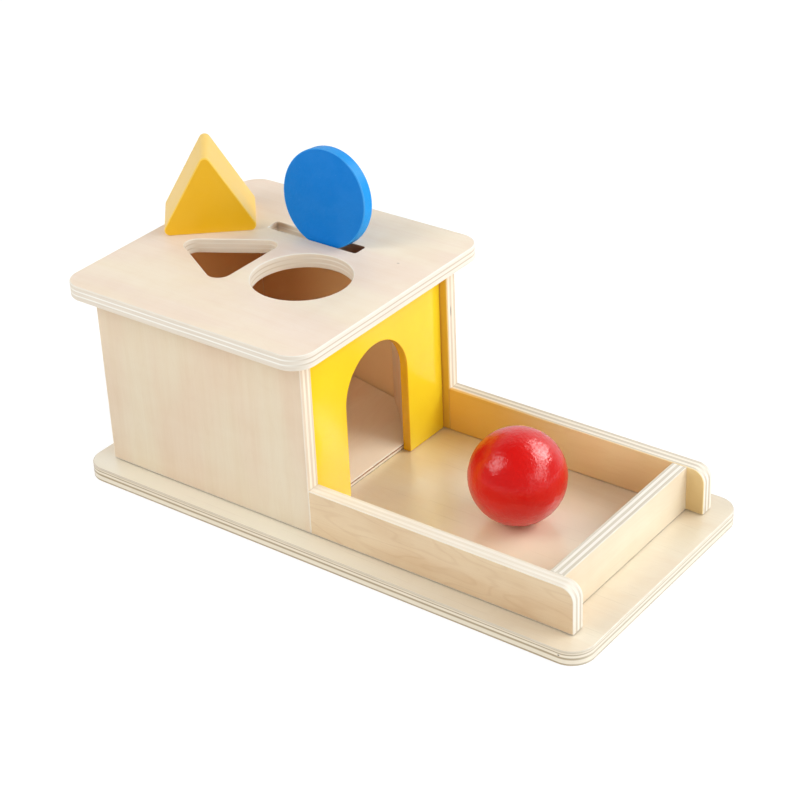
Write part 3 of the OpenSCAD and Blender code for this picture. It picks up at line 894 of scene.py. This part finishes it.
def disc():
    """A round painted plate that leans back: its outline is a circle, and its thickness runs forwards."""
    low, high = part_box("disc")
    centre, radius = np.array((low + high) / 2), (high.x - low.x) / 2 - DISC_TRIM
    up = np.array((0, math.sin(DISC_LEAN), math.cos(DISC_LEAN)))
    front = np.array((0, -math.cos(DISC_LEAN), math.sin(DISC_LEAN)))
    place = centre - front * DISC_T / 2, (1, 0, 0), up, front
    path = outline(corners_about(0, 0, radius, radius), [radius] * 4)
    return board("disc_painted", [path], DISC_T, place, UPRIGHT, blue, ease=PAINT_EASE)


def triangle_block():
    """A painted prism on one long side: its outline is the triangle, and its length runs backwards."""
    low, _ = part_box("triangle_block")
    front = np.array((math.sin(BLOCK_TURN), -math.cos(BLOCK_TURN), 0))
    right = np.array((math.cos(BLOCK_TURN), math.sin(BLOCK_TURN), 0))
    foot = np.array((*BLOCK_FOOT, low.z))
    place = foot - front * BLOCK_L, right, (0, 0, 1), front
    corners = triangle(0, BLOCK_SIDE / (2 * math.sqrt(3)), BLOCK_SIDE, math.pi / 2)
    path = outline(corners, [BLOCK_R] * 3)
    return board("triangle_block_painted", [path], BLOCK_L, place, ALONG, amber, ease=PAINT_EASE)


stand_for(base_board(), "base_board")
stand_for(top_board(), "top_board")
for panel, hand in (("left_side_panel", -1), ("right_side_panel", 1)):
    stand_for(side_panel(panel, hand), panel)
stand_for(back_panel(), "back_panel")
stand_for(door_panel(), "door_panel")
for rail, hand, ply in (("left_tray_rail", -1, near_rail_ply), ("right_tray_rail", 1, far_rail_ply)):
    stand_for(tray_rail(rail, hand, ply), rail)
stand_for(tray_end_rail(), "tray_end_rail")
stand_for(ball_ramp(), "ball_ramp")
stand_for(ramp_cleat(), "ramp_cleat")
for guide, hand in (("left_corner_guide", -1), ("right_corner_guide", 1)):
    stand_for(corner_guide(guide, hand), guide)
stand_for(ball(), "ball")
stand_for(disc(), "disc")
stand_for(triangle_block(), "triangle_block")

# The screws and the dowels keep their CAD nodes
frame["nodes"]["base_screws"].material_slots[0].material = screw_zinc
for dowels in ("top_dowels", "rail_dowels", "end_rail_dowels"):
    frame["nodes"][dowels].material_slots[0].material = dowel_beech


# The studio

# The floor's half side, in metres, its white for the light, and the grey and glow that the camera sees
FLOOR_REACH = 4.0
FLOOR_WHITE = (0.86, 0.86, 0.86, 1)
FLOOR_GREY = (0.3, 0.3, 0.3, 1)
FLOOR_GLOW = 0.8

# The way from the camera to the backdrop, level, and the run along it over which a mirror turns white
BACKDROP_SIDE = (-0.61, 0.79, 0.0)
BACKDROP_RUN = (0.1, 0.85)

# How far the lamps stand from the box's middle, in metres, and one a little in front of another
LAMP_DISTANCE = 1.7
FRONT_DISTANCE = 1.68

# The photograph's camera, solved from the boards' edges, in degrees and millimetres
CAMERA_AZIMUTH = 37.692
CAMERA_ELEVATION = 30.075
CAMERA_ROLL = -2.537
CAMERA_PLACE = (539.18, -698.13, 566.13)
LENS = 94.0


def backdrop_share(tree, *rays):
    """1 for the given kinds of ray, 0 for the rest."""
    path = add(tree, "LightPath")
    share = path.outputs[rays[0]]
    for ray in rays[1:]:
        share = add(tree, "Math", {0: share, 1: path.outputs[ray]}, operation="MAXIMUM").outputs[0]
    return share


def white_floor():
    """A matt white sweep that looks white to the camera and still takes the object's soft shadow."""
    mesh = bpy.data.meshes.new("studio_floor")
    corners = [(x, y, 0) for x, y in corners_about(0, 0, FLOOR_REACH, FLOOR_REACH)]
    mesh.from_pydata(corners, [], [(0, 1, 2, 3)])
    floor = bpy.data.objects.new("studio_floor", mesh)
    bpy.context.scene.collection.objects.link(floor)
    material, tree, shader = new_material("white_sweep")
    tree.nodes.remove(shader)
    lit = add(tree, "BsdfDiffuse", {"Color": FLOOR_WHITE})
    dim = add(tree, "BsdfDiffuse", {"Color": FLOOR_GREY})
    glow = add(tree, "Emission", {"Color": (1, 1, 1, 1), "Strength": FLOOR_GLOW})
    seen = add(tree, "AddShader", {0: dim.outputs[0], 1: glow.outputs[0]})
    share = backdrop_share(tree, "Is Camera Ray")
    mixed = add(tree, "MixShader", {0: share, 1: lit.outputs[0], 2: seen.outputs[0]})
    tree.links.new(mixed.outputs[0], tree.nodes["Material Output"].inputs["Surface"])
    mesh.materials.append(material)


def white_room(horizon, zenith, camera_side):
    """White to the camera, while it lights the object from the sides more than from above.

    Its light goes smoothly from the horizon's strength to the zenith's. Mirrored, it is white behind the
    box and falls smoothly to a dim level on the side where the photographer stands.
    """
    world = bpy.data.worlds.new("white_room")
    bpy.context.scene.world = world
    world.use_nodes = True
    tree = world.node_tree
    direction = add(tree, "TexCoord").outputs["Generated"]
    height = add(tree, "SeparateXYZ", {0: direction}).outputs["Z"]
    glow = add(tree, "MapRange", {"Value": height, "To Min": horizon, "To Max": zenith},
               interpolation_type="SMOOTHSTEP").outputs["Result"]
    back = add(tree, "VectorMath", {0: direction, 1: BACKDROP_SIDE}, operation="DOT_PRODUCT")
    mirrored = add(tree, "MapRange", {"Value": back.outputs["Value"], "From Min": BACKDROP_RUN[0],
                                      "From Max": BACKDROP_RUN[1], "To Min": camera_side},
                   interpolation_type="SMOOTHSTEP").outputs["Result"]
    glossy = backdrop_share(tree, "Is Glossy Ray")
    unseen = add(tree, "Mix", {SHARE: glossy, NUMBER_BELOW: glow, NUMBER_ABOVE: mirrored},
                 data_type="FLOAT").outputs[NUMBER_MIXED]
    seen = backdrop_share(tree, "Is Camera Ray", "Is Transmission Ray")
    level = add(tree, "Mix", {SHARE: seen, NUMBER_BELOW: unseen, NUMBER_ABOVE: 1.0},
                data_type="FLOAT").outputs[NUMBER_MIXED]
    tree.links.new(level, tree.nodes["Background"].inputs["Strength"])
    tree.nodes["Background"].inputs["Color"].default_value = (1, 1, 1, 1)


def softbox(name, toward, width, height, radiance, distance=LAMP_DISTANCE, lights=True):
    """A rectangular lamp that faces the box's middle from a direction; radiance 1 shows as white.

    A lamp that doesn't light anything is only there to be mirrored by the paint.
    """
    lamp = bpy.data.lights.new(name, "AREA")
    lamp.shape = "RECTANGLE"
    lamp.size, lamp.size_y = width, height
    lamp.energy = radiance * math.pi * width * height
    piece = bpy.data.objects.new(name, lamp)
    direction = Vector(toward).normalized()
    piece.location = direction * distance
    piece.rotation_euler = direction.to_track_quat("Z", "Y").to_euler()
    piece.visible_diffuse = lights
    bpy.context.scene.collection.objects.link(piece)


def photo_camera():
    """The photograph's view: level axes from its azimuth and elevation, turned by its small roll."""
    azimuth, elevation, roll = (math.radians(a) for a in (CAMERA_AZIMUTH, CAMERA_ELEVATION, CAMERA_ROLL))
    reach = math.cos(elevation)
    back = Vector((math.sin(azimuth) * reach, -math.cos(azimuth) * reach, math.sin(elevation)))
    level_right = (-back).cross(Vector((0, 0, 1))).normalized()
    level_up = level_right.cross(-back)
    right = math.cos(roll) * level_right + math.sin(roll) * level_up
    up = math.cos(roll) * level_up - math.sin(roll) * level_right
    lens = bpy.data.cameras.new("photo_camera")
    lens.sensor_width = 36
    lens.lens = LENS
    camera = bpy.data.objects.new("photo_camera", lens)
    turned = Matrix((right, up, back)).transposed().to_4x4()
    camera.matrix_world = Matrix.Translation(Vector(CAMERA_PLACE) * MM) @ turned
    bpy.context.scene.collection.objects.link(camera)
    bpy.context.scene.camera = camera


white_floor()
white_room(horizon=1.13, zenith=0.25, camera_side=0.03)
softbox("key_softbox", (0.62, 0.45, 0.64), width=1.2, height=0.74, radiance=5.2)
softbox("fill_softbox", (-0.44, -0.59, 0.68), width=0.72, height=0.8, radiance=4.41)
softbox("tray_card", (0.92, -0.12, 0.36), width=1.2, height=0.7, radiance=1.1)
softbox("right_glint_card", (0.38, 0.64, 0.67), width=1.12, height=1.15, radiance=5.6, lights=False)
softbox("low_glint_card", (0.92, 0.1, 0.38), width=0.75, height=0.6, radiance=2.4, distance=FRONT_DISTANCE,
        lights=False)
softbox("left_glint_card", (-0.44, -0.59, 0.68), width=0.85, height=0.95, radiance=2.5, lights=False)
photo_camera()
bpy.context.scene.view_settings.view_transform = "Standard"
